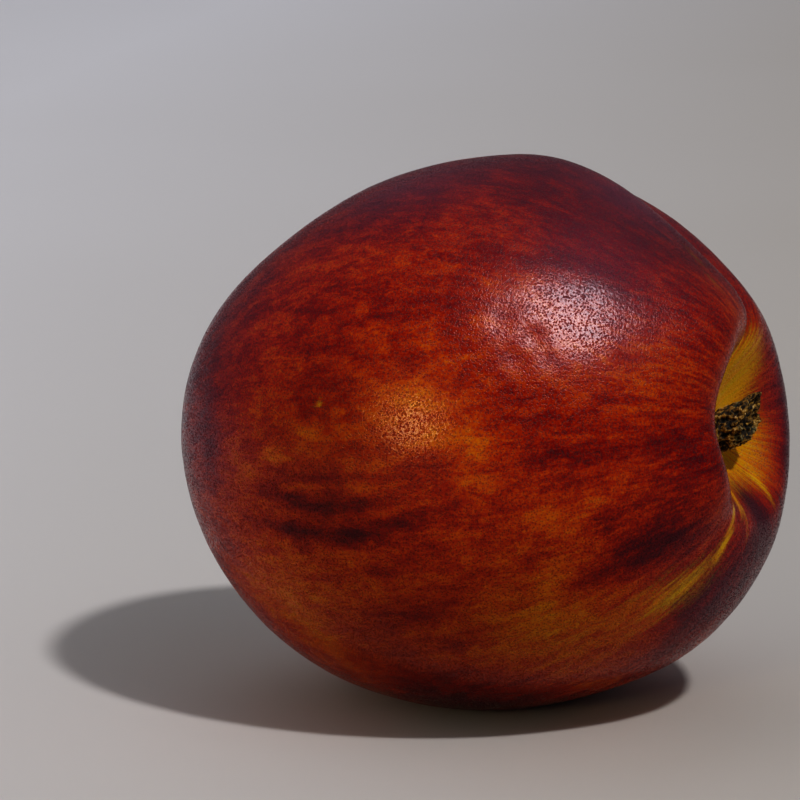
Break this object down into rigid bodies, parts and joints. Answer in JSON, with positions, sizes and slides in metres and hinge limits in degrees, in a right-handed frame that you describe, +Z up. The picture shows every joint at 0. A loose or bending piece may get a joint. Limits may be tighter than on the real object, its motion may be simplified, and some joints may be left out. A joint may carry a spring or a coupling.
{
  "type": "nectarine",
  "caption": "Ripe nectarine lying on its side, with a suture valley, a stem cavity and a dried stalk stub; dresses fruit bowls, tables and kitchen scenes.",
  "frame": {"origin": "middle of the small flat spot on the underside that the fruit rests on", "axes": "+Z up, away from the resting surface; +X towards the stem end, along the fruit's own axis, which is pitched 6 degrees stem end up; the suture runs over the top, 19 degrees round towards +Y"},
  "size_m": [0.0687, 0.0658, 0.0634],
  "materials": {
    "skin": "smooth waxy fruit skin, satin, maroon blush over mottled orange with fine dark pores",
    "bark": "dry, rough and fibrous"
  },
  "bodies": {
    "root": {"fruit": "skin", "stem_stub": "bark"}
  },
  "joints": []
}
